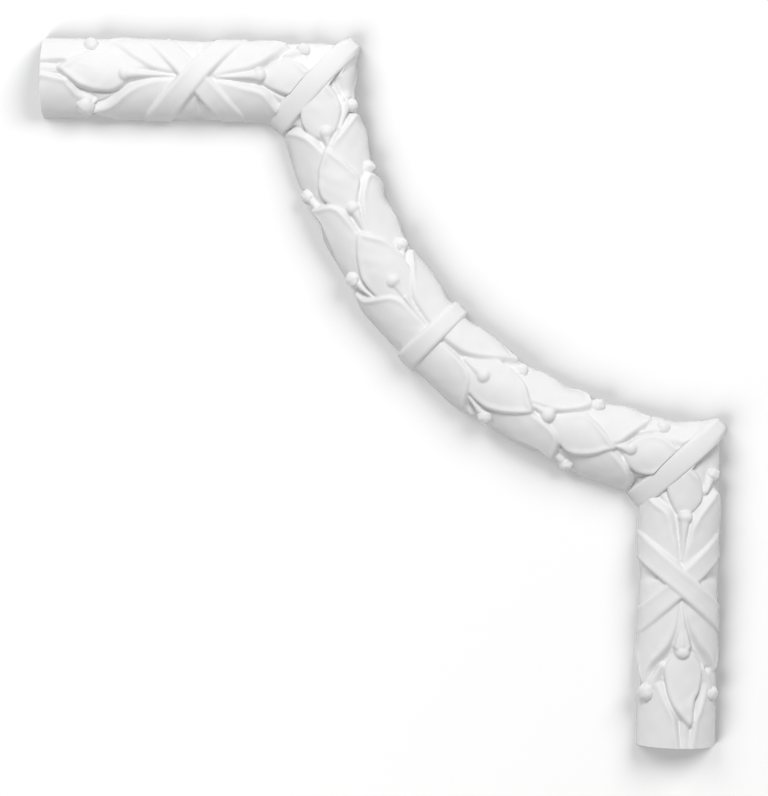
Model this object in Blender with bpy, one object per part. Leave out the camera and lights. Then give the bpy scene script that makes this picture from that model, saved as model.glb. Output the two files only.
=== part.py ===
"""Corner piece of a half-round wall moulding, cast in one with a laurel garland.

A straight arm comes from the left, meets a quarter bow at a mitred corner, and
the bow meets a second arm, which runs down, at another. The garland starts at
the band in the middle of the bow and runs both ways, mirrored on the diagonal.

Everything is laid out along the moulding: "along" is a distance on its middle
line, "turn" an angle in degrees round the half-round from its crown, towards
the bow's hollow side, and "lift" a height over the plain core. lay() turns
these into places in the room, with the back of the piece flat at y = 0.
"""

import math

import bmesh
import bpy

MM = 0.001

# The middle line of the moulding, seen from the front
BOW_RADIUS = 181.5 * MM
BOW_HALF_ANGLE = math.radians(39.2)
ARM_LENGTH = {"upper": 120.5 * MM, "lower": 125.5 * MM}

# The half-round core under the leaves
HALF_WIDTH = {"arm": 16.1 * MM, "bow": 14.8 * MM}
CORE_HEIGHT = 14.5 * MM
CORE_SIDES = 11
CORE_FOOT_TURN = 102.0
BOW_STEP = 12 * MM
PAST_CUT = 4 * MM
TRIANGLES_WANTED = 9800

# Leaves stand out like roof tiles: low at the root, high at the tip
LEAF_ROOT_LIFT = 0.5 * MM
LEAF_TIP_LIFT = 2.6 * MM
LEAF_BEVEL = 1.3 * MM
LEAF_FOOT_TURN = 97.0
BURIED = -2.5 * MM
# All that is laid on the core stands less high on its flanks
FLANK_THINNING = {"arm": 0.4, "bow": 0.15}

# The flat bands and the crossed ribbons
BAND_LIFT = 2.9 * MM
BAND_FOOT_TURN = 99.5
MIDDLE_BAND_WIDTH = 8.6 * MM
CORNER_BAND_WIDTH = 9.4 * MM
CORNER_BAND_TIP = 5.2 * MM
CORNER_BAND_CLIP = 2.7 * MM
RIBBON_CROSSING = 54.4 * MM
RIBBON_LENGTH_ALONG = 12.4 * MM
RIBBON_LIFTS = {"over": 3.3 * MM, "under": 2.5 * MM}

# The stalk between the last two leaves, which runs off each cut end
STALK_TURN = 8.0
STALK_HALF_WIDTH = 1.9 * MM
STALK_GAP_TURN = 9.0
END_LEAF_ROOT = 97 * MM
END_LEAF_LIFT = 1.7 * MM
STALK_SHOWS = 11 * MM

# One half of the bow carries three tiers of leaves. Distances run from the middle band, in millimetres.
BOW_TIERS = (
    {"root": -1.3, "fork": 4, "side_tip": 32, "centre_root": 17, "centre_tip": 55},
    {"root": 36, "fork": 51, "side_tip": 72, "centre_root": 57, "centre_tip": 93.5},
    {"root": 76, "fork": 90, "side_tip": 104.5, "centre_root": 91, "centre_tip": 121},
)
BOW_TIP_TURN = 74.0
ARM_TIP_TURN = 60.0
CENTRE_LEAF_HALF_TURN = 37.0

# Berries: along, turn, radius, and where the stem starts, as along and turn
BOW_BERRIES = (
    (28, 1, 2.9, 13, 0),
    (39, -54, 3.5, 28, -40),
    (41, 58, 3.3, 31, 43),
    (63.5, 1, 3.1, 56, 0),
    (76, -68, 3.4, 68, -48),
    (80, 64, 3.3, 72, 46),
    (100, -1, 2.9, 94, -1),
    (111, 52, 3.1, 102, 36),
)
ARM_BERRIES = (
    (25.3, 2, 2.7, 42, 0),
    (8, 46, 3.0, 17, 38),
    (84.6, 0, 3.0, 65, 0),
    (99, 55, 2.9, 90, 38),
    (101, -52, 3.9, 91, -36),
)
BERRY_CENTRE_LIFT = 1.3 * MM
STEM_LIFT = 2.9 * MM
STEM_HALF_WIDTHS = (0.7 * MM, 1.2 * MM)

BOW_LENGTH = BOW_RADIUS * BOW_HALF_ANGLE
BOW_CENTRE = BOW_RADIUS / math.sqrt(2)
MIDDLE_DIRECTION = math.radians(225)
CORNER_X = BOW_CENTRE + BOW_RADIUS * math.cos(MIDDLE_DIRECTION - BOW_HALF_ANGLE)
CORNER_Z = BOW_CENTRE + BOW_RADIUS * math.sin(MIDDLE_DIRECTION - BOW_HALF_ANGLE)
# Half of the turn that the middle line makes at a corner, and the mitre's direction in the upper one
HALF_BEND = (math.radians(45) + BOW_HALF_ANGLE) / 2
MITRE_DIRECTION = math.radians(90) - HALF_BEND


def clear_scene():
    for thing in list(bpy.data.objects):
        bpy.data.objects.remove(thing, do_unlink=True)


def white_cast():
    material = bpy.data.materials.new("white_cast")
    material.use_nodes = True
    shader = material.node_tree.nodes["Principled BSDF"]
    shader.inputs["Base Color"].default_value = (0.86, 0.86, 0.85, 1.0)
    shader.inputs["Roughness"].default_value = 0.55
    shader.inputs["Metallic"].default_value = 0.0
    return material


def in_half(half, x, y, z):
    """A place of the upper half, or its mirror image on the diagonal in the lower half."""
    return (x, y, z) if half == "upper" else (z, y, x)


def lay(limb, half, along, turn, lift):
    """The place of a point of the arm or the bow, from its distance along, its turn and its lift."""
    angle = math.radians(turn)
    if lift > 0:
        lift *= 1 - FLANK_THINNING[limb] * math.sin(angle) ** 2
    across = (HALF_WIDTH[limb] + lift) * math.sin(angle)
    y = -(CORE_HEIGHT + lift) * math.cos(angle)
    if limb == "arm":
        return in_half(half, CORNER_X - along, y, CORNER_Z + across)
    direction = MIDDLE_DIRECTION - along / BOW_RADIUS
    x = BOW_CENTRE + (BOW_RADIUS - across) * math.cos(direction)
    z = BOW_CENTRE + (BOW_RADIUS - across) * math.sin(direction)
    return in_half(half, x, y, z)


def lay_on_mitre(half, reach, offset, y):
    """A place beside the upper corner's mitre, or the lower one's: along it, square off it, and out."""
    x = CORNER_X + reach * math.cos(MITRE_DIRECTION) - offset * math.sin(MITRE_DIRECTION)
    z = CORNER_Z + reach * math.sin(MITRE_DIRECTION) + offset * math.cos(MITRE_DIRECTION)
    return in_half(half, x, y, z)


def even_turns(foot, parts):
    return [-foot + 2 * foot * k / parts for k in range(parts + 1)]


def object_from(name, points, faces):
    """A closed mesh object with its faces pointing out."""
    shape = bmesh.new()
    corners = [shape.verts.new(point) for point in points]
    for face in faces:
        shape.faces.new([corners[i] for i in face])
    bmesh.ops.recalc_face_normals(shape, faces=shape.faces)
    bmesh.ops.triangulate(shape, faces=shape.faces)
    mesh = bpy.data.meshes.new(name)
    shape.to_mesh(mesh)
    shape.free()
    made = bpy.data.objects.new(name, mesh)
    bpy.context.collection.objects.link(made)
    return made


def slab(name, top, bottom):
    """Closes two grids of points, of equal rows and columns, into one body."""
    rows, columns = len(top), len(top[0])
    below = rows * columns
    faces = []
    for i in range(rows - 1):
        for j in range(columns - 1):
            a = i * columns + j
            square = (a, a + 1, a + 1 + columns, a + columns)
            faces.append(square)
            faces.append(tuple(corner + below for corner in reversed(square)))
    rim = list(range(columns))
    rim += [i * columns + columns - 1 for i in range(1, rows)]
    rim += [(rows - 1) * columns + j for j in range(columns - 2, -1, -1)]
    rim += [i * columns for i in range(rows - 2, 0, -1)]
    for a, b in zip(rim, rim[1:] + rim[:1]):
        faces.append((b, a, a + below, b + below))
    points = [point for row in top + bottom for point in row]
    return object_from(name, points, faces)


def leaf(name, limb, half, edges, tip_lift=LEAF_TIP_LIFT, rows=7, facet=21.0):
    """A bevelled leaf. edges(t) gives along, low turn and high turn from its root (0) to its tip (1)."""
    bevel = math.degrees(LEAF_BEVEL / HALF_WIDTH[limb])
    spread = [(i / (rows - 1)) * 0.96 for i in range(rows)] + [1.0]
    widest = max(high - low for _, low, high in map(edges, spread))
    inner = max(1, round(widest / facet))
    top, bottom = [], []
    for t in spread:
        along, low, high = edges(t)
        inset = min(bevel, (high - low) * 0.3)
        flat = high - low - 2 * inset
        turns = [low] + [low + inset + flat * k / inner for k in range(inner + 1)] + [high]
        lift = LEAF_ROOT_LIFT + (tip_lift - LEAF_ROOT_LIFT) * math.sin(min(1.0, t / 0.8) * math.pi / 2)
        lifts = [0.0] + [lift if t < 1 else 0.0] * (inner + 1) + [0.0]
        top.append([lay(limb, half, along, turn, up) for turn, up in zip(turns, lifts)])
        bottom.append([lay(limb, half, along, turn, BURIED) for turn in turns])
    return slab(name, top, bottom)


def side_leaf_edges(root, fork, tip, side, tip_turn, roundness, fork_turn=2.0):
    """A leaf that leaves the fork on the crown and ends in a tip on the flank, on side +1 or -1."""

    def edges(t):
        along = root + (tip - root) * t
        reach = max(0.0, (along - fork) / (tip - fork))
        near = fork_turn + (tip_turn - fork_turn) * (1 - (1 - reach**2) ** (1 / roundness))
        far = max(tip_turn + (LEAF_FOOT_TURN - tip_turn) * (1 - t**3), near + 4.0)
        return along, *sorted((side * near, side * far))

    return edges


def end_leaf_edges(half, side):
    """A leaf beside the stalk, on side +1 or -1, that runs off the cut end."""

    def edges(t):
        along = END_LEAF_ROOT + (ARM_LENGTH[half] + PAST_CUT / 2 - END_LEAF_ROOT) * t
        near = STALK_TURN + side * STALK_GAP_TURN
        far = side * LEAF_FOOT_TURN
        return along, *sorted((near, far))

    return edges


def centre_leaf_edges(root, tip, half_turn, drift=0.0):
    """A leaf along the crown, widest near its root. drift is how far round its tip lies, in degrees."""

    def edges(t):
        half_width = half_turn * (1 - t**2.6) ** 0.85 * (1.1 - 0.4 * (1 - t) ** 4) + 1.0
        middle = drift * t**2
        return root + (tip - root) * t, middle - half_width, middle + half_width

    return edges


def berry(limb, half, along, turn, radius):
    """A round berry, half sunk in what lies under it."""
    shape = bmesh.new()
    bmesh.ops.create_icosphere(shape, subdivisions=2, radius=radius)
    bmesh.ops.translate(shape, verts=shape.verts, vec=lay(limb, half, along, turn, BERRY_CENTRE_LIFT))
    mesh = bpy.data.meshes.new("berry")
    shape.to_mesh(mesh)
    shape.free()
    made = bpy.data.objects.new("berry", mesh)
    bpy.context.collection.objects.link(made)
    return made


def ridge(name, limb, half, start, end, half_widths, lift):
    """A ridge between two places given as along and turn."""
    run_along = end[0] - start[0]
    run_across = math.radians(end[1] - start[1]) * HALF_WIDTH[limb]
    length = math.hypot(run_along, run_across)
    top, bottom = [], []
    for t, half_width in zip((0, 1), half_widths):
        row_top, row_bottom = [], []
        for share, up in ((-1, 0.2), (-0.4, 1), (0.4, 1), (1, 0.2)):
            sideways = half_width * share
            along = start[0] + run_along * t - run_across / length * sideways
            across = run_across * t + run_along / length * sideways
            turn = start[1] + math.degrees(across / HALF_WIDTH[limb])
            row_top.append(lay(limb, half, along, turn, lift * up))
            row_bottom.append(lay(limb, half, along, turn, BURIED))
        top.append(row_top)
        bottom.append(row_bottom)
    return slab(name, top, bottom)


def core():
    """The plain half-round: rings along the upper half, round its corner, and back out along the lower half."""
    turns = even_turns(CORE_FOOT_TURN, CORE_SIDES)
    mitre_half_width = (HALF_WIDTH["arm"] + HALF_WIDTH["bow"]) / 2
    lean_ends = 30 * MM

    def mitre_ring(half):
        ring = []
        for turn in turns:
            reach = mitre_half_width * math.sin(math.radians(turn)) / math.cos(HALF_BEND)
            ring.append(lay_on_mitre(half, reach, 0.0, -CORE_HEIGHT * math.cos(math.radians(turn))))
        return ring

    def leaning_ring(limb, half, from_corner):
        """A ring that leans towards the mitre, the more the nearer it is."""
        lean = HALF_WIDTH[limb] * math.tan(HALF_BEND) * (1 - from_corner / lean_ends)
        ring = []
        for turn in turns:
            place = from_corner - lean * math.sin(math.radians(turn))
            along = place if limb == "arm" else BOW_LENGTH - place
            ring.append(lay(limb, half, along, turn, 0.0))
        return ring

    def half_of_rings(half):
        end = ARM_LENGTH[half] + PAST_CUT
        rings = [[lay("arm", half, end, turn, 0.0) for turn in turns]]
        rings += [leaning_ring("arm", half, lean_ends * share) for share in (1, 0.5)]
        rings.append(mitre_ring(half))
        rings += [leaning_ring("bow", half, lean_ends * share) for share in (0.33, 0.67, 1)]
        plain = BOW_LENGTH - lean_ends
        count = round(plain / BOW_STEP)
        rings += [[lay("bow", half, plain * i / count, turn, 0.0) for turn in turns] for i in range(count - 1, 0, -1)]
        return rings

    middle = [lay("bow", "upper", 0.0, turn, 0.0) for turn in turns]
    rings = half_of_rings("upper") + [middle] + half_of_rings("lower")[::-1]
    sides = len(turns)
    faces = [tuple(range(sides)), tuple((len(rings) - 1) * sides + j for j in reversed(range(sides)))]
    for i in range(len(rings) - 1):
        for j in range(sides):
            k = (j + 1) % sides
            faces.append((i * sides + k, i * sides + j, (i + 1) * sides + j, (i + 1) * sides + k))
    return object_from("corner_moulding", [point for ring in rings for point in ring], faces)


def middle_band():
    turns = even_turns(BAND_FOOT_TURN, 13)
    sides = (-MIDDLE_BAND_WIDTH / 2, MIDDLE_BAND_WIDTH / 2)
    top = [[lay("bow", "upper", along, turn, BAND_LIFT) for turn in turns] for along in sides]
    bottom = [[lay("bow", "upper", along, turn, BURIED) for turn in turns] for along in sides]
    return slab("middle_band", top, bottom)


def corner_band(half):
    """The band over a mitre, flat across. It reaches past the mitre's inner end, and its outer end is clipped."""
    inner_reach = CORNER_BAND_WIDTH / 2 * math.tan(HALF_BEND)

    def row(offset, lift):
        points = []
        for turn in even_turns(BAND_FOOT_TURN, 13):
            sine = math.sin(math.radians(turn))
            up = lift * (1 - FLANK_THINNING["arm"] * sine**2) if lift > 0 else lift
            reach = (HALF_WIDTH["arm"] + up) * sine / math.cos(HALF_BEND)
            if sine < 0:
                reach -= inner_reach * sine**2
            elif abs(offset) > CORNER_BAND_TIP / 2:
                reach -= CORNER_BAND_CLIP * sine**2
            points.append(lay_on_mitre(half, reach, offset, -(CORE_HEIGHT + up) * math.cos(math.radians(turn))))
        return points

    offsets = [CORNER_BAND_WIDTH / 2 * side for side in (-1, 1)] + [CORNER_BAND_TIP / 2 * side for side in (-1, 1)]
    offsets.sort()
    return slab("corner_band", [row(o, BAND_LIFT) for o in offsets], [row(o, BURIED) for o in offsets])


def ribbon(half, layer, slope):
    """One of the two flat ribbons that cross on an arm. slope is +1 or -1, its lean along the arm."""
    turns = even_turns(BAND_FOOT_TURN, 13)

    def row(offset, lift):
        middle = [RIBBON_CROSSING + slope * HALF_WIDTH["arm"] * math.sin(math.radians(turn)) for turn in turns]
        return [lay("arm", half, along + offset, turn, lift) for along, turn in zip(middle, turns)]

    offsets = (-RIBBON_LENGTH_ALONG / 2, RIBBON_LENGTH_ALONG / 2)
    return slab("ribbon", [row(o, RIBBON_LIFTS[layer]) for o in offsets], [row(o, BURIED) for o in offsets])


def berries(limb, half, table):
    parts = []
    for along, turn, radius, stem_along, stem_turn in table:
        start = (stem_along * MM, stem_turn)
        end = (along * MM, turn)
        parts.append(berry(limb, half, *end, radius * MM))
        parts.append(ridge("stem", limb, half, start, end, STEM_HALF_WIDTHS, STEM_LIFT))
    return parts


def bow_garland(half):
    """Three tiers of a pair of side leaves and a centre leaf, each tier over the roots of the next."""
    parts = berries("bow", half, BOW_BERRIES)
    for tier in BOW_TIERS:
        root, fork, side_tip, centre_root, centre_tip = (value * MM for value in tier.values())
        for side in (-1, 1):
            edges = side_leaf_edges(root, fork, side_tip, side, BOW_TIP_TURN, 2.0)
            parts.append(leaf("side_leaf", "bow", half, edges))
        edges = centre_leaf_edges(centre_root, centre_tip, CENTRE_LEAF_HALF_TURN)
        parts.append(leaf("centre_leaf", "bow", half, edges, LEAF_TIP_LIFT - 0.5 * MM))
    return parts


def arm_garland(half):
    """Leaves that run both ways from two crossed ribbons, and the last pair, cut off at the arm's end."""
    parts = berries("arm", half, ARM_BERRIES)
    for side in (-1, 1):
        inward = side_leaf_edges(53.6 * MM, 47 * MM, 16 * MM, side, ARM_TIP_TURN, 1.2)
        outward = side_leaf_edges(55.2 * MM, 60 * MM, 93 * MM, side, ARM_TIP_TURN, 1.3)
        parts.append(leaf("inward_leaf", "arm", half, inward))
        parts.append(leaf("outward_leaf", "arm", half, outward))
        parts.append(leaf("end_leaf", "arm", half, end_leaf_edges(half, side), END_LEAF_LIFT, rows=3))
    lower_lift = LEAF_TIP_LIFT - 0.6 * MM
    parts.append(leaf("inward_centre", "arm", half, centre_leaf_edges(33 * MM, 3.5 * MM, 31), lower_lift))
    parts.append(leaf("outward_centre", "arm", half, centre_leaf_edges(76 * MM, 113 * MM, 29, STALK_TURN), lower_lift))
    stalk_start = (ARM_LENGTH[half] - STALK_SHOWS, STALK_TURN)
    stalk_end = (ARM_LENGTH[half] + PAST_CUT / 2, STALK_TURN)
    parts.append(ridge("stalk", "arm", half, stalk_start, stalk_end, (STALK_HALF_WIDTH, STALK_HALF_WIDTH), 1.6 * MM))
    slope = -1 if half == "upper" else 1
    parts.append(ribbon(half, "over", slope))
    parts.append(ribbon(half, "under", -slope))
    return parts


def join(base, parts):
    """Unites the parts with the base in one go."""
    group = bpy.data.collections.new("garland")
    for part in parts:
        group.objects.link(part)
    union = base.modifiers.new("union", "BOOLEAN")
    union.operation = "UNION"
    union.solver = "EXACT"
    union.operand_type = "COLLECTION"
    union.collection = group
    bpy.context.view_layer.objects.active = base
    bpy.ops.object.modifier_apply(modifier=union.name)
    for part in parts:
        bpy.data.objects.remove(part, do_unlink=True)


def thin_out(base):
    """Collapses the slivers that a union leaves along its seams, down to the wanted number of triangles."""
    triangles = sum(len(face.vertices) - 2 for face in base.data.polygons)
    thin = base.modifiers.new("thin", "DECIMATE")
    thin.ratio = TRIANGLES_WANTED / triangles
    bpy.context.view_layer.objects.active = base
    bpy.ops.object.modifier_apply(modifier=thin.name)


def drop_crumbs(base):
    """Deletes all but the largest loose piece of a mesh."""
    shape = bmesh.new()
    shape.from_mesh(base.data)
    waiting = set(shape.verts)
    pieces = []
    while waiting:
        piece = {waiting.pop()}
        edge_of_piece = list(piece)
        while edge_of_piece:
            corner = edge_of_piece.pop()
            linked = {edge.other_vert(corner) for edge in corner.link_edges} & waiting
            waiting -= linked
            piece |= linked
            edge_of_piece += linked
        pieces.append(piece)
    pieces.sort(key=len)
    crumbs = [corner for piece in pieces[:-1] for corner in piece]
    bmesh.ops.delete(shape, geom=crumbs, context="VERTS")
    shape.to_mesh(base.data)
    shape.free()


def cut_flat(base):
    """Cuts the back and both ends off flat, by keeping what lies in one large block."""
    low_x = CORNER_X - ARM_LENGTH["upper"]
    low_z = CORNER_X - ARM_LENGTH["lower"]
    far = 0.25
    front = [[(low_x, -far, low_z), (far, -far, low_z)], [(low_x, -far, far), (far, -far, far)]]
    back = [[(x, 0.0, z) for x, _, z in row] for row in front]
    block = slab("block", front, back)
    keep = base.modifiers.new("keep", "BOOLEAN")
    keep.operation = "INTERSECT"
    keep.solver = "EXACT"
    keep.object = block
    bpy.context.view_layer.objects.active = base
    bpy.ops.object.modifier_apply(modifier=keep.name)
    bpy.data.objects.remove(block, do_unlink=True)


def main():
    clear_scene()
    moulding = core()
    parts = [middle_band()]
    for half in ("upper", "lower"):
        parts += bow_garland(half) + arm_garland(half) + [corner_band(half)]
    join(moulding, parts)
    thin_out(moulding)
    cut_flat(moulding)
    drop_crumbs(moulding)
    moulding.data.materials.clear()
    moulding.data.materials.append(white_cast())


main()
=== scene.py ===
"""The looks of a cast corner piece for a half-round wall moulding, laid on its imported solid.

The moulding's surface is one sheet of fine mesh. Each of its points has a distance along the
middle line, an arc round the half-round from its crown, and a lift over the plain core, which
the leaves, stems, ribbons and bands raise. The berries are round bodies set into that sheet.
Sizes inside the relief are in millimetres; the finished mesh is in metres.
"""

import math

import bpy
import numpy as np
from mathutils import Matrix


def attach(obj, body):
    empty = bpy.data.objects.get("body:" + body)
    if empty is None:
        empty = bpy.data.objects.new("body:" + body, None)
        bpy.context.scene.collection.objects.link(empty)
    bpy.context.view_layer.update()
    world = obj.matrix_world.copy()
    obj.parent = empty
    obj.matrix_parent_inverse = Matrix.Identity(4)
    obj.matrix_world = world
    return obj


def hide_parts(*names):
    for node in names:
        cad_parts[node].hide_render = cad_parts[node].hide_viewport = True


bl_info = {
    "name": "Garland corner moulding",
    "version": (1, 0, 0),
    "blender": (4, 5, 0),
    "location": "View3D > Sidebar > Moulding",
    "description": "Models and finishes a cast corner piece of a half-round wall moulding",
    "category": "Add Mesh",
}

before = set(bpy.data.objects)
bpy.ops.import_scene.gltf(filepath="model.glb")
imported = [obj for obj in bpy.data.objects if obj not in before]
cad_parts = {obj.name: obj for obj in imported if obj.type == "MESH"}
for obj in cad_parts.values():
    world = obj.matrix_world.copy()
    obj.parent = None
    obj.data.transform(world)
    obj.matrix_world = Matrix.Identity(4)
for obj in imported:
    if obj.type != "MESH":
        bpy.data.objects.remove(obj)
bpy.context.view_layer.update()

NODE = "corner_moulding"
MM = 0.001
UPPER, LOWER = "upper", "lower"

# The arc from the crown is measured on a round section of this radius, in mm
ARC_RADIUS = 15.5
FOOT_ARC = ARC_RADIUS * math.pi / 2

# A leaf: where it roots and ends along the moulding, its lifts there in mm, and its outline.
# An outline's places are distances along the moulding in mm and turns from the crown in degrees.
# The bow's distances run from the middle band, and an arm's from its corner.
BOW_LEAVES = (
    (0, 33, 0.9, 2.6, (
        (-4, 5), (3, 4), (13, 2), (20, -1), (24.5, -10), (27, -24), (29, -42), (31, -57), (35, -66),
        (34, -74), (29, -86), (20, -96), (-4, -96))),
    (0, 36, 1.7, 3.0, (
        (-4, 3), (5, 5), (15, 10), (21, 18), (26, 29), (31, 41), (36, 56), (37.5, 66), (34, 80),
        (26, 96), (-4, 96))),
    (16, 40, 0.2, 3.0, (
        (55, -4), (51, -15), (43, -29), (36, -36), (28, -34), (21, -20), (18, 0), (19, 22),
        (26, 38), (36, 41), (45, 31), (52, 10))),
    (38, 74, 0.0, 1.5, (
        (34, -50), (60, -50), (70, -60), (72, -72), (71, -80), (66, -84), (58, -96), (34, -96))),
    (38, 72, 0.4, 2.8, (
        (34, -10), (44, -2), (53, -2), (60, -5), (66.5, -11), (70, -21), (71.5, -36), (72, -52),
        (72.5, -65), (70, -67), (64.5, -60), (58, -61), (52, -67), (46, -74), (40, -86),
        (34, -96))),
    (38, 76, 0.5, 2.8, (
        (34, 10), (46, 8), (53, 8), (58, 10), (65, 15), (72, 27), (77, 42), (78.5, 55), (77, 70),
        (75, 84), (68, 96), (34, 96))),
    (62, 82, 0.7, 3.0, (
        (94, -5), (90, -16), (85, -27), (78, -36), (73, -35), (68, -21), (64, -9), (63, 3),
        (66, 14), (71, 24), (76, 32), (82, 25), (89, 10))),
    (78, 104, 0.2, 2.8, (
        (74, -10), (84, -4), (91, -6), (97, -17), (101.5, -31), (104, -48), (105, -66), (103, -80),
        (96, -96), (74, -96))),
    (78, 106, 0.5, 2.8, (
        (74, 10), (86, 0), (93, -1), (96, 5), (99, 18), (102.5, 32), (106, 47), (107.5, 60),
        (106, 76), (100, 96), (74, 96))),
    (97, 114, 0.7, 2.8, (
        (98, -6), (99, -20), (103, -33), (108, -36), (114, -29), (121, -16), (127, -4), (127, 8),
        (120, 18), (115, 28), (109, 31), (104, 26), (100, 16), (98, 4))),
    (108, 128, 0.6, 1.6, (
        (132, -12), (118, -38), (110, -46), (107, -60), (112, -80), (120, -96), (134, -96))),
)
UPPER_BOW_LEAVES = (
    (104, 126, 1.0, 1.9, (
        (131, 22), (123, 33), (117, 44), (113.5, 54), (112, 66), (117, 80), (124, 96), (134, 96))),
)
LOWER_BOW_LEAVES = (
    (100, 126, 1.2, 1.9, (
        (136, 14), (122, 19), (112, 27), (107, 34), (105, 50), (106, 80), (112, 96), (136, 96))),
)
ARM_LEAVES = (
    (50, 90, 0.8, 2.7, (
        (50, 2), (60, 1.5), (66, 3), (72, 8), (77, 16.5), (81.5, 26), (85.5, 38), (90, 51),
        (93, 60), (91, 72), (84, 86), (72, 96), (50, 96))),
    (50, 94, 0.8, 2.7, (
        (50, -1), (60, -1), (66, -1.5), (73, -5), (80, -14), (85, -25), (88.5, -36), (92.5, -46),
        (97.5, -52), (99, -60), (95, -70), (88, -82), (80, -96), (50, -96))),
    (56, 16, 0.8, 2.7, (
        (56, -3), (45, -2.5), (40, 1), (34, 6), (28.5, 11), (24, 19), (20, 30), (16.5, 43),
        (13.5, 58), (16, 72), (24, 86), (34, 96), (56, 96))),
    (56, 14, 0.8, 2.7, (
        (56, -2), (45, -2.5), (38, -6), (32, -11), (26, -15), (22, -22), (19, -37), (16, -50),
        (12, -60), (14, -70), (22, -84), (32, -96), (56, -96))),
    (22, 5, 0.5, 2.3, (
        (24, 0), (23, 12), (19, 27), (14, 31), (9, 26), (5, 15), (1.5, 0), (5, -16), (9, -26),
        (14, -26), (20, -17), (23.5, -9))),
)
END_LEAF_LIFTS = (1.3, 1.9)
UPPER_END_LEAVES = (
    (74, 106, *END_LEAF_LIFTS, (
        (134, 17.5), (112, 17.5), (107, 10), (97, 5), (86, 5), (77, 7), (70, 14), (70, 40),
        (76, 80), (84, 96), (134, 96))),
    (98, 108, *END_LEAF_LIFTS, (
        (134, -1.5), (112, -1.5), (106.5, -14), (103.5, -26), (98, -36), (97, -50), (98, -70),
        (104, -96), (134, -96))),
    (84, 108, 1.8, 2.4, (
        (113.5, 9), (111, 0), (107, -10), (103, -18), (96.5, -24), (90, -25), (85, -17), (82.5, -4),
        (82, 12), (85, 28), (91, 38), (98, 38), (105, 28), (110, 17))),
)
LOWER_END_LEAVES = (
    (92, 112, *END_LEAF_LIFTS, (
        (138, 17), (116, 17), (108, 26), (100, 37), (94, 42), (91, 60), (96, 96), (138, 96))),
    (92, 112, *END_LEAF_LIFTS, (
        (138, -3), (116, -3), (110, -8), (103, -20), (98, -30), (96, -45), (100, -70), (106, -96),
        (138, -96))),
    (84, 112, 0.5, 2.3, (
        (116.5, 14), (113.5, 19.5), (105, 22), (100, 31), (91, 34), (86, 24), (83.5, 10),
        (83.5, -4), (86, -14), (91, -25), (99, -22), (106, -14), (112, -1))),
)

# Where the bow's flanks swell or draw in: the distance along and the spread, then how far in mm
# on the outer side and on the hollow side
BOW_FLANKS = (
    (7, 5, -0.5, -1.5),
    (18, 6, -0.5, 0.3),
    (32, 4, -0.9, -0.9),
    (53, 6, 0.0, 1.0),
    (65, 4, -1.9, -1.2),
    (84, 7, 1.4, -0.1),
    (94, 6, 0.6, 0.7),
    (103.5, 3.5, 0.8, -1.4),
    (119, 7, 0.0, -1.7),
)

# Where the arms' flanks swell, in the same way, with distances from the corner
ARM_FLANKS = (
    (1, 13, 0.0, 2.6),
)

# A thin ridge: its two ends, its half widths there and its lift in mm
UPPER_BOW_RIDGES = (
    ((3, 3), (20, 4), 0.9, 0.9, 2.7),
    ((102, 27), (114, 37), 0.6, 1.0, 2.2),
    ((125, 41), (115, 49), 0.6, 1.1, 2.4),
)

# A berry: its place, its radius and its centre's lift in mm, then its stem's start and end and its
# half widths there in mm. Places are given as in the leaves' outlines.
BOW_BERRIES = (
    ((39.0, -53), 3.5, 1.3, (28, -38), (37, -50), 0.8, 1.5),
    ((77.2, -68), 3.4, 1.3, (67, -46), (75, -62), 0.8, 1.5),
    ((80.8, 59), 3.3, 1.3, (72, 44), (79, 55), 0.8, 1.6),
    ((100.5, 1), 2.8, 0.9, (93, -1), (99, 0), 0.7, 1.8),
)
UPPER_BOW_BERRIES = (
    ((29.0, 3), 2.8, 1.3, (19, 4), (27, 4), 0.9, 1.5),
    ((41.3, 52), 3.3, 1.3, (35, 42), (39, 48), 0.4, 1.1),
    ((65.4, 4), 2.9, 0.9, (54, 6), (63, 6), 0.8, 1.6),
    ((111.0, 53), 3.0, 1.3, (101, 24), (111, 42), 0.8, 1.9),
)
LOWER_BOW_BERRIES = (
    ((28.5, 3), 3.0, 1.2, (18, 5), (26.5, 4), 0.9, 1.7),
    ((41.3, 54), 3.2, 0.5, (37, 48), (39, 50), 0.5, 0.8),
    ((61.5, 4), 3.2, 0.9, (54, 8), (60, 6), 0.8, 1.4),
    ((113.0, 46), 3.2, 1.0, (103, 30), (111, 43), 0.8, 1.9),
)
ARM_BERRIES = (
    ((25.3, 3), 2.7, 0.9, (44, -1), (27, 2), 0.5, 1.5),
    ((6.5, 52), 3.0, 1.3, (14, 38), (8, 48), 0.8, 1.5),
)
UPPER_END_BERRIES = (
    ((84.0, 2), 2.7, 1.1, (62, 0), (82, 2), 0.4, 1.6),
    ((99.0, 51), 3.4, 1.1, (94, 44), (97, 49), 0.5, 1.0),
    ((101.0, -49), 4.1, 1.3, (97, -42), (99, -45), 0.5, 0.9),
)
LOWER_END_BERRIES = (
    ((84.0, 2), 2.8, 0.9, (62, 0), (81, 2), 0.4, 2.9),
    ((102.0, 55), 3.2, 1.2, (91, 36), (100, 51), 0.8, 1.5),
    ((101.8, -52), 3.9, 1.9, (90, -30), (99, -46), 0.9, 1.9),
)

# What each half has of its own: which way its upper ribbon slopes, and the leaves, ridges and berries
OWN = {
    UPPER: {"over_slope": -1, "arm_leaves": UPPER_END_LEAVES, "arm_berries": UPPER_END_BERRIES,
            "bow_leaves": UPPER_BOW_LEAVES, "bow_ridges": UPPER_BOW_RIDGES, "bow_berries": UPPER_BOW_BERRIES},
    LOWER: {"over_slope": 1, "arm_leaves": LOWER_END_LEAVES, "arm_berries": LOWER_END_BERRIES,
            "bow_leaves": LOWER_BOW_LEAVES, "bow_ridges": (), "bow_berries": LOWER_BOW_BERRIES},
}

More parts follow.
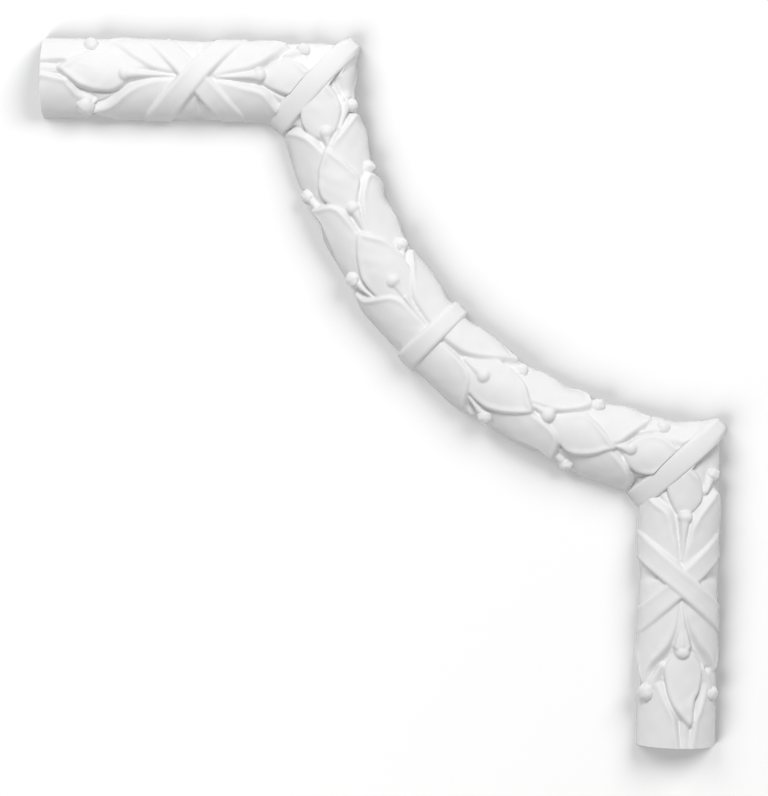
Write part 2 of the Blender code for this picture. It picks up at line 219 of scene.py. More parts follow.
# How high a stem stands where it meets its berry, in mm, and how near the crown, in degrees, a berry
# is a dome in the sheet and not a round body of its own
BERRY_FOOT_LIFT = 3.15
CROWN_TURN = 10

# The fine groove beside a leaf, in mm
GROOVE_DEPTH = 1.25
GROOVE_HALF_WIDTH = 0.8

# How much lower a stem starts than it ends, in mm
STEM_RISE = 1.4

# Where an arm's ribbons cross, and where the leaves that run both ways meet under them, in mm from
# the corner
CROSSING = 53.9
LEAF_ROOTS = 51.5

# How far along the arm the upper ribbon runs on its way from the crown to the wall, in mm, and the
# lower ribbon's run as a share of it
RIBBON_RUN = 16.1
LOWER_RIBBON_SHARE = 1.08

# The stem that runs off an arm's cut end: its start, turn, half widths and lift
END_STEM_START = 110
END_STEM_TURN = 8
END_STEM_HALF_WIDTHS = (1.6, 2.1)
END_STEM_LIFT = 2.4

# How close to the wall, in mm, a point of the thinned mesh counts as one of the flat back
BACK_REACH = 0.15

# The wall stands this far behind the piece, in metres, so that their faces don't lie in one plane
WALL_GAP = 0.0004


class MouldingSizes(bpy.types.PropertyGroup):
    """Sizes of the moulding under its garland."""

    bow_radius: bpy.props.FloatProperty(
        name="Bow radius", description="Radius of the bow's middle line",
        default=0.1815, min=0.05, subtype="DISTANCE", unit="LENGTH")
    bow_half_angle: bpy.props.FloatProperty(
        name="Bow half angle", description="Angle that half of the bow covers",
        default=math.radians(39.2), min=0.1, subtype="ANGLE", unit="ROTATION")
    upper_arm: bpy.props.FloatProperty(
        name="Upper arm", description="Length of the arm that runs to the left",
        default=0.1205, min=0.12, subtype="DISTANCE", unit="LENGTH")
    lower_arm: bpy.props.FloatProperty(
        name="Lower arm", description="Length of the arm that runs down",
        default=0.1255, min=0.12, subtype="DISTANCE", unit="LENGTH")
    arm_half_width: bpy.props.FloatProperty(
        name="Arm half width", description="Half the plain core's width in the arms",
        default=0.0161, min=0.01, subtype="DISTANCE", unit="LENGTH")
    bow_half_width: bpy.props.FloatProperty(
        name="Bow half width", description="Half the plain core's width in the bow",
        default=0.0148, min=0.01, subtype="DISTANCE", unit="LENGTH")
    core_height: bpy.props.FloatProperty(
        name="Core height", description="Height of the plain core over the wall",
        default=0.0145, min=0.01, subtype="DISTANCE", unit="LENGTH")
    mesh_step: bpy.props.FloatProperty(
        name="Mesh step", description="Distance between the fine mesh's rings",
        default=0.00037, min=0.0002, subtype="DISTANCE", unit="LENGTH")
    triangles: bpy.props.IntProperty(
        name="Triangles", description="Triangles left when the even stretches are thinned out",
        default=180000, min=20000)


class GarlandSizes(bpy.types.PropertyGroup):
    """Heights and widths of the relief."""

    leaf_rim: bpy.props.FloatProperty(
        name="Leaf rim", description="Radius of a leaf's rounded rim",
        default=0.0018, min=0.0005, subtype="DISTANCE", unit="LENGTH")
    rim_roll: bpy.props.FloatProperty(
        name="Rim roll", description="How far a leaf's rim stands over its face",
        default=0.0006, subtype="DISTANCE", unit="LENGTH")
    band_lift: bpy.props.FloatProperty(
        name="Corner band lift", description="Lift of the bands over the corners",
        default=0.0029, subtype="DISTANCE", unit="LENGTH")
    middle_band_lift: bpy.props.FloatProperty(
        name="Middle band lift", description="Lift of the band in the middle of the bow",
        default=0.0035, subtype="DISTANCE", unit="LENGTH")
    middle_band: bpy.props.FloatProperty(
        name="Middle band", description="Width of the band in the middle of the bow",
        default=0.0086, min=0.004, subtype="DISTANCE", unit="LENGTH")
    corner_band: bpy.props.FloatProperty(
        name="Corner band", description="Width of the band over each corner",
        default=0.0094, min=0.004, subtype="DISTANCE", unit="LENGTH")
    ribbon: bpy.props.FloatProperty(
        name="Ribbon", description="Width of a crossed ribbon, measured along the arm",
        default=0.0130, min=0.004, subtype="DISTANCE", unit="LENGTH")
    over_ribbon: bpy.props.FloatProperty(
        name="Upper ribbon", description="Lift of the ribbon that lies on top",
        default=0.0040, subtype="DISTANCE", unit="LENGTH")
    under_ribbon: bpy.props.FloatProperty(
        name="Lower ribbon", description="Lift of the ribbon that lies below",
        default=0.0033, subtype="DISTANCE", unit="LENGTH")
    unevenness: bpy.props.FloatProperty(
        name="Unevenness", description="How far the cast surface wavers",
        default=0.00012, min=0.0, subtype="DISTANCE", unit="LENGTH")


class CastFinish(bpy.types.PropertyGroup):
    """Colour and surface of the casting."""

    colour: bpy.props.FloatVectorProperty(
        name="Colour", description="Colour of the primed casting",
        default=(0.798, 0.791, 0.798), size=3, min=0.0, max=1.0, subtype="COLOR")
    roughness: bpy.props.FloatProperty(
        name="Roughness", description="Roughness of the primed surface",
        default=0.62, min=0.0, max=1.0, subtype="FACTOR")


class StageLook(bpy.types.PropertyGroup):
    """The wall behind the piece, the light and the camera."""

    wall: bpy.props.FloatVectorProperty(
        name="Wall", description="Colour of the wall behind the piece",
        default=(0.12, 0.12, 0.12), size=3, min=0.0, max=1.0, subtype="COLOR")
    key_light: bpy.props.FloatProperty(
        name="Key light", description="Power of the soft light on the piece, from above",
        default=13.7, min=0.0, unit="POWER")
    wall_light: bpy.props.FloatProperty(
        name="Wall light", description="Power of the soft light on the wall, from the upper left",
        default=135.0, min=0.0, unit="POWER")
    wall_fill: bpy.props.FloatProperty(
        name="Wall fill",
        description="Power of each soft light on the wall, from the upper right and the lower left",
        default=240.0, min=0.0, unit="POWER")
    back_light: bpy.props.FloatProperty(
        name="Back light", description="Power of the soft light behind the wall",
        default=24.0, min=0.0, unit="POWER")
    sky: bpy.props.FloatProperty(
        name="Sky", description="Strength of the even light from all round",
        default=0.40, min=0.0)
    distance: bpy.props.FloatProperty(
        name="Distance", description="Distance from the camera to the wall",
        default=1.2, min=0.3, subtype="DISTANCE", unit="LENGTH")
    lens: bpy.props.FloatProperty(
        name="Lens", description="Focal length of the camera",
        default=128.0, min=20.0, unit="CAMERA")


def smooth_step(x):
    x = np.clip(x, 0.0, 1.0)
    return x * x * (3 - 2 * x)


def over(below, above, fillet=0.3):
    """The higher of two surfaces, with a small fillet where they meet."""
    share = np.clip(0.5 + 0.5 * (above - below) / fillet, 0.0, 1.0)
    return below + (above - below) * share + fillet * share * (1 - share)


def drop_at_rim(inside, radius, wall_slope=3.0):
    """How far a rounded rim has fallen at a distance inside its edge, and the steep wall outside it."""
    share = np.clip(1 - inside / radius, 0.0, 1.0)
    return radius * (1 - np.sqrt(1 - 0.97 * share**2)) + wall_slope * np.maximum(0.0, -inside)


def soften(lift):
    """The same surface with its steps blurred over a few points of the mesh."""
    for axis in (0, 1):
        wide = np.pad(lift, [(1, 1) if axis == a else (0, 0) for a in (0, 1)], mode="edge")
        before, after = (wide[:-2], wide[2:]) if axis == 0 else (wide[:, :-2], wide[:, 2:])
        lift = 0.5 * lift + 0.25 * (before + after)
    return lift


def arc(turn):
    """Arc length from the crown, in mm, of a turn in degrees."""
    return ARC_RADIUS * math.radians(turn)


def waver(s, v):
    """A soft irregular swell between about -1 and 1, whose hills lie some 8 mm apart."""
    s, v = s + 1.7 * np.sin(v / 4.1 + 1), v + 1.9 * np.sin(s / 6.3)
    total = np.zeros_like(s)
    waves = ((20, 9.3, 0.4), (75, 11.1, 2.1), (130, 7.9, 4.0), (165, 14.3, 5.2), (48, 6.4, 1.1))
    for turn, wavelength, shift in waves:
        heading = math.radians(turn)
        total += np.sin(2 * math.pi * (s * math.cos(heading) + v * math.sin(heading)) / wavelength + shift)
    return total / 3


def smooth_loop(outline, pieces=6):
    """A closed curve through an outline's places, as places in mm along and round."""
    knots = np.array([(along, arc(turn)) for along, turn in outline])
    before, after, second = np.roll(knots, 1, axis=0), np.roll(knots, -1, axis=0), np.roll(knots, -2, axis=0)
    t = (np.arange(pieces) / pieces)[None, :, None]
    a, b, c, d = before[:, None], knots[:, None], after[:, None], second[:, None]
    curve = b + 0.5 * t * (c - a + t * (2 * a - 5 * b + 4 * c - d + t * (3 * (b - c) + d - a)))
    return curve.reshape(-1, 2)


def distance_inside(s, v, outline):
    """How far places lie inside an outline, in mm: below 0 outside it, and no less than -4."""
    loop = smooth_loop(outline)
    low, high = loop.min(axis=0) - 4, loop.max(axis=0) + 4
    near = (s > low[0]) & (s < high[0]) & (v > low[1]) & (v < high[1])
    ps, pv = s[near], v[near]
    distance = np.full(ps.shape, 16.0)
    inside = np.zeros(ps.shape, dtype=bool)
    for (s0, v0), (s1, v1) in zip(loop, np.roll(loop, -1, axis=0)):
        run_s, run_v = s1 - s0, v1 - v0
        share = np.clip(((ps - s0) * run_s + (pv - v0) * run_v) / (run_s**2 + run_v**2 + 1e-12), 0.0, 1.0)
        distance = np.minimum(distance, (ps - s0 - run_s * share) ** 2 + (pv - v0 - run_v * share) ** 2)
        if v0 != v1:
            inside ^= ((v0 > pv) != (v1 > pv)) & (ps < run_s * (pv - v0) / run_v + s0)
    result = np.full(s.shape, -4.0)
    result[near] = np.where(inside, 1, -1) * np.sqrt(distance)
    return np.maximum(result, -4.0)


class Relief:
    """The lift of the garland over the plain core, in mm, at places along and round the moulding."""

    def __init__(self, sizes):
        self.rim = sizes.leaf_rim / MM
        self.roll = sizes.rim_roll / MM
        self.unevenness = sizes.unevenness / MM
        self.band = sizes.middle_band_lift / MM
        self.middle_band_half = sizes.middle_band / MM / 2
        self.ribbon_half = sizes.ribbon / MM / 2
        self.ribbon_lifts = {"over": sizes.over_ribbon / MM, "under": sizes.under_ribbon / MM}

    def leaf(self, s, v, leaf):
        """Height of a leaf's face: it rises from its root, swells inwards and rolls up at its rim."""
        root, tip, root_lift, tip_lift, outline = leaf
        inside = distance_inside(s, v, outline)
        rise = np.clip((s - root) / (tip - root) / 0.85, 0.0, 1.0) ** 0.8
        swell = 0.5 * (1 - np.exp(-np.maximum(inside, 0.0) / 3.0))
        roll = np.exp(-(((inside - 1.5) / 1.1) ** 2)) - 0.6 * np.exp(-(((inside - 4.6) / 2.2) ** 2))
        top = root_lift + (tip_lift - root_lift) * rise + swell + self.roll * roll * rise**2
        return top, inside

    def leaves(self, lift, s, v, table):
        """Lays leaf on leaf, each with a fine groove in what lies below its edge."""
        for leaf in table:
            top, inside = self.leaf(s, v, leaf)
            step = top - lift
            groove = GROOVE_DEPTH * np.exp(-(((inside + 0.5) / GROOVE_HALF_WIDTH) ** 2))
            groove = groove * smooth_step((step - 0.1) / 0.5)
            rim = np.clip(0.9 * step, 0.6, self.rim)
            lift = over(lift - groove, top - drop_at_rim(inside, rim, wall_slope=1.8), 0.12)
        return lift

    def stem(self, s, v, start, end, half_widths, lift):
        """A ridge from one place to another, which parts into three strands where it widens."""
        (start_s, start_turn), (end_s, end_turn) = start, end
        start_v, end_v = arc(start_turn), arc(end_turn)
        run_s, run_v = end_s - start_s, end_v - start_v
        length = math.hypot(run_s, run_v)
        share = np.clip(((s - start_s) * run_s + (v - start_v) * run_v) / length**2, 0.0, 1.0)
        away = np.hypot(s - start_s - run_s * share, v - start_v - run_v * share)
        half = half_widths[0] + (half_widths[1] - half_widths[0]) * share**1.5
        rim = drop_at_rim(half - away, np.minimum(half, 1.2), wall_slope=2.0)
        ridge = lift - STEM_RISE * (1 - share) - rim
        groove = np.exp(-(((away - 0.38 * half) / (0.18 * half)) ** 2)) * smooth_step((half - 1.2) / 0.6)
        return ridge - 0.45 * groove

    def bead(self, s, v, place, radius, lift):
        """A berry on the crown, as a dome in the sheet."""
        away = np.hypot(s - place[0], v - arc(place[1]))
        near = np.minimum(away, 0.94 * radius)
        return lift + np.sqrt(radius**2 - near**2) - 2.5 * (away - near)

    def stems(self, lift, s, v, berries):
        """Lays the berries' stems on the relief, and the domes of the berries at the crown."""
        for _, _, _, start, end, start_half, end_half in berries:
            lift = over(lift, self.stem(s, v, start, end, (start_half, end_half), BERRY_FOOT_LIFT))
        for place, radius, centre_lift, *_ in berries:
            if abs(place[1]) < CROWN_TURN:
                lift = over(lift, self.bead(s, v, place, radius, centre_lift), 0.4)
        return lift

    def swells(self, s, v, table):
        """What a table of swells adds on the flanks."""
        flank = smooth_step((np.degrees(np.abs(v)) / ARC_RADIUS - 45) / 35)
        return sum(np.where(v < 0, outer, hollow) * flank * np.exp(-(((s - along) / spread) ** 2))
                   for along, spread, outer, hollow in table)

    def bow(self, s, v, own):
        """The leaves of half the bow, and half of the middle band."""
        lift = self.leaves(np.zeros_like(s), s, v, BOW_LEAVES + own["bow_leaves"])
        for start, end, start_half, end_half, ridge_lift in own["bow_ridges"]:
            lift = over(lift, self.stem(s, v, start, end, (start_half, end_half), ridge_lift))
        lift = self.stems(lift, s, v, BOW_BERRIES + own["bow_berries"])
        lift = lift + self.swells(s, v, BOW_FLANKS) + self.unevenness * waver(s + 40 * own["over_slope"], v)
        inside = self.middle_band_half - np.abs(s)
        return over(lift, self.band - drop_at_rim(inside, 1.7, wall_slope=6.0), 0.15)

    def arm(self, s, v, length, own):
        """Leaves that run both ways from the crossed ribbons, and those by the cut end."""
        lift = self.leaves(np.zeros_like(s), s, v, ARM_LEAVES + own["arm_leaves"])
        start, beyond_end = (END_STEM_START, END_STEM_TURN), (length + 6, END_STEM_TURN)
        lift = over(lift, self.stem(s, v, start, beyond_end, END_STEM_HALF_WIDTHS, END_STEM_LIFT))
        # Where the roots of the leaves meet on the flanks, a groove opens towards the wall
        opening = np.maximum(np.abs(v) - arc(24), 0.0)
        groove = np.exp(-(((s - LEAF_ROOTS) / (0.5 + 0.18 * opening)) ** 2)) * smooth_step(opening / 4)
        flank = smooth_step((np.abs(v) - arc(50)) / arc(30))
        lift = lift - 1.4 * groove * (1 - 0.8 * flank)
        lift = self.stems(lift, s, v, ARM_BERRIES + own["arm_berries"])
        for layer, slope in (("under", -LOWER_RIBBON_SHARE * own["over_slope"]), ("over", own["over_slope"])):
            turn = v / ARC_RADIUS
            middle = CROSSING + slope * RIBBON_RUN * np.sin(turn)
            lean = slope * RIBBON_RUN / ARC_RADIUS * np.cos(turn)
            inside = (self.ribbon_half - np.abs(s - middle)) / np.sqrt(1 + lean**2)
            top = self.ribbon_lifts[layer] + 0.25 * np.exp(-(((inside - 1.5) / 1.0) ** 2)) - 0.7 * flank
            lift = over(lift, top - drop_at_rim(inside, 1.3, wall_slope=4.0), 0.2)
        return lift + self.swells(s, v, ARM_FLANKS) + self.unevenness * waver(s + 90 * own["over_slope"], v)


class Course:
    """The moulding's course: turns places along, round and over it into places in the room, in mm."""

    lean_length = 36.0

    def __init__(self, sizes, garland):
        self.radius = sizes.bow_radius / MM
        self.half_angle = sizes.bow_half_angle
        self.arms = {UPPER: sizes.upper_arm / MM, LOWER: sizes.lower_arm / MM}
        self.half_widths = {"arm": sizes.arm_half_width / MM, "bow": sizes.bow_half_width / MM}
        self.height = sizes.core_height / MM
        self.band_half = garland.corner_band / MM / 2
        self.band_lift = garland.band_lift / MM
        self.bow_length = self.radius * self.half_angle
        self.centre = self.radius / math.sqrt(2)
        self.middle_direction = math.radians(225)
        corner_direction = self.middle_direction - self.half_angle
        self.corner_x = self.centre + self.radius * math.cos(corner_direction)
        self.corner_z = self.centre + self.radius * math.sin(corner_direction)
        self.half_bend = (math.radians(45) + self.half_angle) / 2
        self.mitre = math.radians(90) - self.half_bend
        # How the relief thins towards the wall, on the side away from the bow's hollow and on the other
        self.thinning = {"arm": (0.25, 0.45), "bow": (0.15, 0.15)}

    def half_width(self, limb, from_corner):
        corner = (self.half_widths["arm"] + self.half_widths["bow"]) / 2
        return corner + (self.half_widths[limb] - corner) * smooth_step(from_corner / 24.0)

    def mitre_place(self, reach, offset):
        """A place in the upper corner, from its reach along the mitre and its offset towards the arm."""
        x = self.corner_x + reach * math.cos(self.mitre) - offset * math.sin(self.mitre)
        z = self.corner_z + reach * math.sin(self.mitre) + offset * math.cos(self.mitre)
        return x, z

    def lay(self, limb, along, turn, lift):
        """A place in the upper half of the piece."""
        from_corner = along if limb == "arm" else self.bow_length - along
        low, high = self.thinning[limb]
        sine = np.sin(turn)
        thin = 1 - np.where(turn < 0, low, high) * sine**2
        lift = np.where(lift > 0, lift * thin, lift)
        across = (self.half_width(limb, from_corner) + lift) * sine
        y = -(self.height + lift) * np.cos(turn)
        if limb == "arm":
            return np.stack([self.corner_x - along, y, self.corner_z + across], axis=-1)
        direction = self.middle_direction - along / self.radius
        x = self.centre + (self.radius - across) * np.cos(direction)
        z = self.centre + (self.radius - across) * np.sin(direction)
        return np.stack([x, y, z], axis=-1)

    def mitre_line_on_bow(self, across, offset):
        """How far from the corner, along the bow, a line beside the mitre lies."""
        beyond_x, beyond_z = self.centre - self.corner_x, self.centre - self.corner_z
        shift = math.cos(self.mitre) * beyond_z - math.sin(self.mitre) * beyond_x
        direction = self.mitre + math.pi - np.arcsin((-offset - shift) / (self.radius - across))
        return self.bow_length - self.radius * (self.middle_direction - direction)

    def leaning(self, limb, from_corner, turn, first):
        """Places along the limb of rings that lie beside the mitre near it and square across further on."""
        lean = np.clip(1 - (from_corner - first) / (self.lean_length - first), 0.0, 1.0)
        across = self.half_width(limb, from_corner) * np.sin(turn)
        if limb == "arm":
            return from_corner - lean * across * math.tan(self.half_bend)
        offset = first * math.cos(self.half_bend)
        zero = self.mitre_line_on_bow(np.zeros_like(across), offset)
        return from_corner + lean * (self.mitre_line_on_bow(across, offset) - zero)

    def corner_band(self, turn):
        """The rings of the flat band over the upper corner, from its edge on the arm to that on the bow."""
        edge = self.band_half
        face = np.linspace(-edge + 0.6, edge - 0.6, 22)
        offsets = np.concatenate([
            [-edge, -edge + 0.12, -edge + 0.3], face, [edge - 0.3, edge - 0.12, edge]])[::-1]
        rings = []
        for offset in offsets:
            rounding = 1 - math.sqrt(1 - 0.98 * np.clip(1 - (edge - abs(offset)), 0, 1) ** 2)
            sine = np.sin(turn)
            crown = 0.4 * (1 - (offset / edge) ** 2) * (1 - sine**2)
            up = (self.band_lift - rounding) * (1 - 0.4 * sine**2) + crown
            reach = (self.half_widths["arm"] + up) * sine / math.cos(self.half_bend)
            inner = edge * math.tan(self.half_bend) * sine**2
            clip = 2.7 * smooth_step((abs(offset) - 2.3) / (edge - 2.3)) * sine**2
            reach = np.where(sine < 0, reach - inner, reach - clip)
            x, z = self.mitre_place(reach, offset)
            rings.append(np.stack([x, -(self.height + up) * np.cos(turn), z], axis=-1))
        return np.array(rings)


def mirrored(points):
    """The same places in the lower half: mirrored on the corner's diagonal."""
    return points[..., [2, 1, 0]]


def half_rings(course, relief, half, turn, step):
    """Rings of one half, from its arm's cut end to the middle band's middle."""
    first = (course.band_half + 0.3) / math.cos(course.half_bend)
    end = course.arms[half]
    count = round((end - first) / step)
    from_corner = np.linspace(end, first, count)[:, None]
    along = course.leaning("arm", from_corner, turn[None, :], first)
    turns = np.broadcast_to(turn, along.shape)
    lift = soften(relief.arm(along, turns * ARC_RADIUS, end, OWN[half]))
    arm = course.lay("arm", along, turns, lift)

    edge = relief.middle_band_half
    count = round((course.bow_length - first - edge) / step)
    places = np.concatenate([np.linspace(first, course.bow_length - edge - 0.25, count),
                             course.bow_length - edge + np.array([-0.1, 0.0, 0.12, 0.3, 0.6]),
                             np.linspace(course.bow_length - edge + 1.0, course.bow_length, 9)])[:, None]
    along = course.bow_length - course.leaning("bow", places, turn[None, :], first)
    turns = np.broadcast_to(turn, along.shape)
    lift = soften(relief.bow(along, turns * ARC_RADIUS, OWN[half]))
    bow = course.lay("bow", along, turns, lift)

    rings = np.concatenate([arm, course.corner_band(turn), bow])
    return rings if half == UPPER else mirrored(rings)


def select_none():
    bpy.ops.object.select_all(action="DESELECT")


def activate(thing):
    select_none()
    thing.select_set(True)
    bpy.context.view_layer.objects.active = thing


def apply_modifier(thing, modifier):
    activate(thing)
    bpy.ops.object.modifier_apply(modifier=modifier.name)


def select_edges(mesh, wanted):
    """Selects the edges for which wanted holds, in edit mode's edge mode."""
    bpy.ops.mesh.select_all(action="DESELECT")
    bpy.ops.mesh.select_mode(type="EDGE")
    bpy.ops.object.mode_set(mode="OBJECT")
    ends = np.empty(len(mesh.edges) * 2, dtype=np.int32)
    mesh.edges.foreach_get("vertices", ends)
    mesh.edges.foreach_set("select", wanted[ends].reshape(-1, 2).all(axis=1))
    bpy.ops.object.mode_set(mode="EDIT")


def sheet_from(name, rings):
    """A sheet of mesh with one row of points for each ring, closed along the wall and at both ends."""
    rows, columns = rings.shape[:2]
    select_none()
    bpy.ops.mesh.primitive_grid_add(x_subdivisions=columns - 1, y_subdivisions=rows - 1, size=1)
    sheet = bpy.context.active_object
    sheet.name = sheet.data.name = name
    mesh = sheet.data
    places = np.empty(len(mesh.vertices) * 3)
    mesh.vertices.foreach_get("co", places)
    places = places.reshape(-1, 3)
    order = np.lexsort((places[:, 0].round(6), places[:, 1].round(6)))
    places[order] = rings.reshape(-1, 3) * MM
    mesh.vertices.foreach_set("co", places.ravel())
    mesh.update()
    column = np.empty(len(order), dtype=np.int32)
    column[order] = np.tile(np.arange(columns), rows)
    row = np.empty(len(order), dtype=np.int32)
    row[order] = np.repeat(np.arange(rows), columns)
    bpy.ops.object.mode_set(mode="EDIT")
    # The flat back joins the sheet's two long edges
    foot = (column == 0) | (column == columns - 1)
    select_edges(mesh, foot)
    bpy.ops.mesh.bridge_edge_loops()
    # The cut ends
    for end in (0, rows - 1):
        select_edges(mesh, row == end)
        bpy.ops.mesh.edge_face_add()
    bpy.ops.mesh.select_all(action="SELECT")
    bpy.ops.mesh.normals_make_consistent(inside=False)
    bpy.ops.object.mode_set(mode="OBJECT")
    return sheet


class MOULDING_OT_casting(bpy.types.Operator):
    """Model the whole casting: the core with its leaves, stems, ribbons and bands, and the berries"""

    bl_idname = "moulding.casting"
    bl_label = "Model the casting"

    def execute(self, context):
        sizes, garland = context.scene.moulding_sizes, context.scene.garland_sizes
        course, relief = Course(sizes, garland), Relief(garland)
        step = sizes.mesh_step / MM
        turn = np.linspace(-math.pi / 2, math.pi / 2, round(2 * FOOT_ARC / step))
        upper = half_rings(course, relief, UPPER, turn, step)
        lower = half_rings(course, relief, LOWER, turn, step)
        casting = sheet_from("moulding_casting", np.concatenate([upper, lower[::-1][1:]]))
        thin = casting.modifiers.new("thin", "DECIMATE")
        thin.ratio = sizes.triangles / sum(len(face.vertices) - 2 for face in casting.data.polygons)
        apply_modifier(casting, thin)
        flatten_back(casting.data)
        set_berries(casting, course)
        activate(casting)
        bpy.ops.object.shade_smooth_by_angle(angle=math.radians(50))
        casting.data.materials.clear()
        casting.data.materials.append(cast_material(context.scene.cast_finish))
        bpy.data.collections["lit_by_key"].objects.link(casting)
        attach(casting, "root")
        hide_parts(NODE)
        return {"FINISHED"}


def flatten_back(mesh):
    """Lays the points that thinning has lifted a little off the wall back on it."""
    places = np.empty(len(mesh.vertices) * 3)
    mesh.vertices.foreach_get("co", places)
    places = places.reshape(-1, 3)
    places[places[:, 1] > -BACK_REACH * MM, 1] = 0
    mesh.vertices.foreach_set("co", places.ravel())
    mesh.update()


def set_berries(casting, course):
    """Sets the berries that lie off the crown into the casting, half sunk in what lies under them."""
    berries = []
    for half, own in OWN.items():
        tables = [("bow", berry) for berry in BOW_BERRIES + own["bow_berries"]]
        tables += [("arm", berry) for berry in ARM_BERRIES + own["arm_berries"]]
        for limb, ((along, turn), radius, lift, *_) in tables:
            if abs(turn) < CROWN_TURN:
                continue
            place = course.lay(limb, np.array(along), np.array(math.radians(turn)), np.array(lift))
            if half == LOWER:
                place = mirrored(place)
            select_none()
            bpy.ops.mesh.primitive_uv_sphere_add(
                segments=28, ring_count=16, radius=radius * MM, location=tuple(place * MM))
            berries.append(bpy.context.active_object)
    select_none()
    for berry in berries:
        berry.select_set(True)
    bpy.context.view_layer.objects.active = berries[0]
    bpy.ops.object.transform_apply(location=True, rotation=True, scale=True)
    bpy.ops.object.join()
    all_berries = bpy.context.active_object
    clouds = bpy.data.textures.new("lumps", "CLOUDS")
    clouds.noise_scale = 0.0019
    lumps = all_berries.modifiers.new("lumps", "DISPLACE")
    lumps.texture = clouds
    lumps.strength = 0.0013
    apply_modifier(all_berries, lumps)
    union = casting.modifiers.new("berries", "BOOLEAN")
    union.operation = "UNION"
    union.solver = "EXACT"
    union.object = all_berries
    apply_modifier(casting, union)
    bpy.data.objects.remove(all_berries, do_unlink=True)


def cast_material(finish):
    """Matte primer on a cast surface, with faint mottling and fine grain."""
    material = bpy.data.materials.new("white_cast")
    material.use_nodes = True
    nodes, links = material.node_tree.nodes, material.node_tree.links
    shader = nodes["Principled BSDF"]
    place = nodes.new("ShaderNodeTexCoord")
    mottle = nodes.new("ShaderNodeTexNoise")
    mottle.inputs["Scale"].default_value = 45.0
    mottle.inputs["Detail"].default_value = 4.0
    links.new(place.outputs["Object"], mottle.inputs["Vector"])
    tone = nodes.new("ShaderNodeMix")
    tone.data_type = "RGBA"
    tone.inputs["A"].default_value = (*(c * 0.965 for c in finish.colour), 1)
    tone.inputs["B"].default_value = (*(min(1.0, c * 1.02) for c in finish.colour), 1)
    links.new(mottle.outputs["Fac"], tone.inputs["Factor"])
    links.new(tone.outputs["Result"], shader.inputs["Base Color"])
    grain = nodes.new("ShaderNodeTexNoise")
    grain.inputs["Scale"].default_value = 900.0
    grain.inputs["Detail"].default_value = 3.0
    links.new(place.outputs["Object"], grain.inputs["Vector"])
    bump = nodes.new("ShaderNodeBump")
    bump.inputs["Strength"].default_value = 0.12
    bump.inputs["Distance"].default_value = 0.0003
    links.new(grain.outputs["Fac"], bump.inputs["Height"])
    links.new(bump.outputs["Normal"], shader.inputs["Normal"])
    shader.inputs["Roughness"].default_value = finish.roughness
    shader.inputs["Specular IOR Level"].default_value = 0.35
    return material


class MOULDING_OT_stage(bpy.types.Operator):
    """Set up the pale wall, the soft light and the camera of the photograph"""

    bl_idname = "moulding.stage"
    bl_label = "Set the stage"

    def execute(self, context):
        look = context.scene.stage_look
        scene = context.scene
        select_none()
        bpy.ops.mesh.primitive_plane_add(
            size=4, location=(0, WALL_GAP, 0), rotation=(math.radians(90), 0, 0))
        wall = context.active_object
        wall.name = "wall"
        wall.data.materials.append(wall_material(look))

        piece_only = bpy.data.collections.new("lit_by_key")
        wall_only = bpy.data.collections.new("lit_by_wall_lights")
        wall_only.objects.link(wall)
        key_place, key_size = (-0.056, -1.19, 0.67), 0.49
        area_light("key_light", key_place, key_size, look.key_light, piece_only)
        aside, in_front, wall_light_size = 1.15, 1.48, 1.4
        for name, x, z, power in (("upper_left", -aside, aside, look.wall_light),
                                  ("upper_right", aside, aside, look.wall_fill),
                                  ("lower_left", -aside, -aside, look.wall_fill)):
            area_light(name, (x, -in_front, z), wall_light_size, power, wall_only)
        # The flat back is lit through the wall, to be seen from behind, with no gleam on the front's edges
        back_place, back_size = (0.0, 2.0, 0.0), 0.2
        back = area_light("back_light", back_place, back_size, look.back_light, piece_only)
        back.light_linking.blocker_collection = piece_only
        back.visible_glossy = False

        world = bpy.data.worlds.new("studio")
        world.use_nodes = True
        world.node_tree.nodes["Background"].inputs["Color"].default_value = (1, 1, 1, 1)
        world.node_tree.nodes["Background"].inputs["Strength"].default_value = look.sky
        scene.world = world
        scene.view_settings.view_transform = "Standard"

        # The photograph's centre is this place on the wall, and it shows the piece turned a little clockwise
        seen_x, seen_z = -0.0209, -0.0281
        roll = math.radians(1.06)
        bpy.ops.object.camera_add(
            location=(seen_x, -look.distance, seen_z), rotation=(math.radians(90), -roll, 0))
        camera = context.active_object
        camera.data.lens = look.lens
        camera.data.sensor_fit = "HORIZONTAL"
        camera.data.clip_end = 20
        scene.camera = camera
        return {"FINISHED"}


def area_light(name, place, size, power, receivers):
    """A round soft light aimed at the piece, that lights only what is in a collection."""
    bpy.ops.object.light_add(type="AREA", location=place)
    light = bpy.context.active_object
    light.name = name
    light.data.shape = "DISK"
    light.data.size = size
    light.data.energy = power
    light.rotation_euler = (-light.location).to_track_quat("-Z", "Y").to_euler()
    light.light_linking.receiver_collection = receivers
    return light


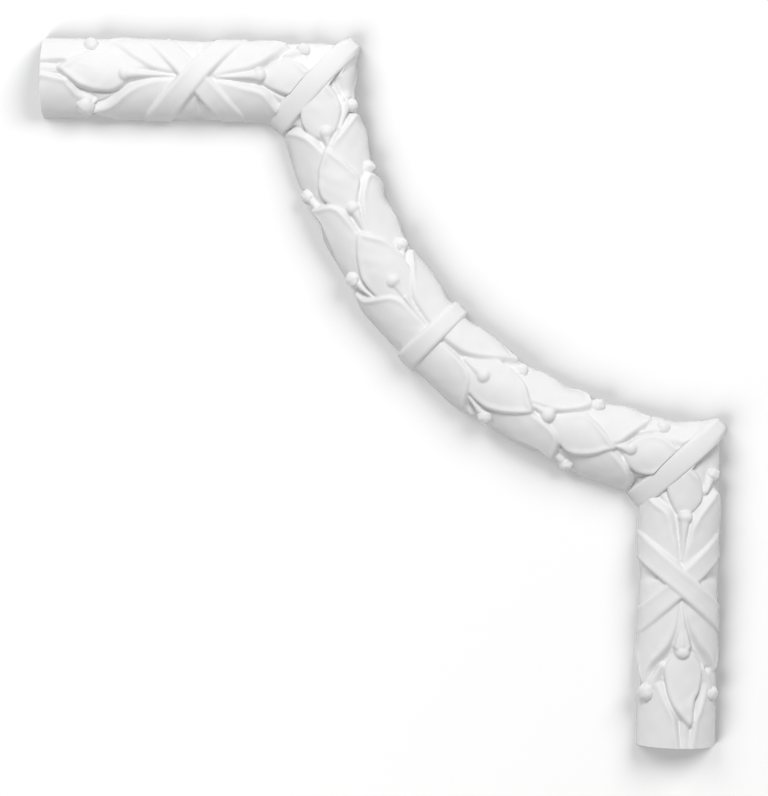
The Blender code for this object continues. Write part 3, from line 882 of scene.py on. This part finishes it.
def wall_material(look):
    """A pale wall that shows only from its front."""
    material = bpy.data.materials.new("pale_wall")
    material.use_nodes = True
    nodes, links = material.node_tree.nodes, material.node_tree.links
    shader = nodes["Principled BSDF"]
    shader.inputs["Base Color"].default_value = (*look.wall, 1)
    shader.inputs["Roughness"].default_value = 0.9
    shader.inputs["Specular IOR Level"].default_value = 0.1
    side = nodes.new("ShaderNodeNewGeometry")
    clear = nodes.new("ShaderNodeBsdfTransparent")
    choice = nodes.new("ShaderNodeMixShader")
    links.new(side.outputs["Backfacing"], choice.inputs["Fac"])
    links.new(shader.outputs["BSDF"], choice.inputs[1])
    links.new(clear.outputs["BSDF"], choice.inputs[2])
    links.new(choice.outputs["Shader"], nodes["Material Output"].inputs["Surface"])
    return material


class MOULDING_PT_panel(bpy.types.Panel):
    bl_idname = "MOULDING_PT_panel"
    bl_label = "Corner moulding"
    bl_space_type = "VIEW_3D"
    bl_region_type = "UI"
    bl_category = "Moulding"

    def draw(self, context):
        for group in ("moulding_sizes", "garland_sizes", "cast_finish", "stage_look"):
            settings = getattr(context.scene, group)
            box = self.layout.box()
            for name in settings.__annotations__:
                box.prop(settings, name)
        self.layout.operator(MOULDING_OT_casting.bl_idname)
        self.layout.operator(MOULDING_OT_stage.bl_idname)


CLASSES = (MouldingSizes, GarlandSizes, CastFinish, StageLook,
           MOULDING_OT_casting, MOULDING_OT_stage, MOULDING_PT_panel)


def register():
    for cls in CLASSES:
        bpy.utils.register_class(cls)
    bpy.types.Scene.moulding_sizes = bpy.props.PointerProperty(type=MouldingSizes)
    bpy.types.Scene.garland_sizes = bpy.props.PointerProperty(type=GarlandSizes)
    bpy.types.Scene.cast_finish = bpy.props.PointerProperty(type=CastFinish)
    bpy.types.Scene.stage_look = bpy.props.PointerProperty(type=StageLook)


def unregister():
    del bpy.types.Scene.stage_look
    del bpy.types.Scene.cast_finish
    del bpy.types.Scene.garland_sizes
    del bpy.types.Scene.moulding_sizes
    for cls in reversed(CLASSES):
        bpy.utils.unregister_class(cls)


def main():
    register()
    bpy.ops.moulding.stage()
    bpy.ops.moulding.casting()


if __name__ == "__main__":
    main()
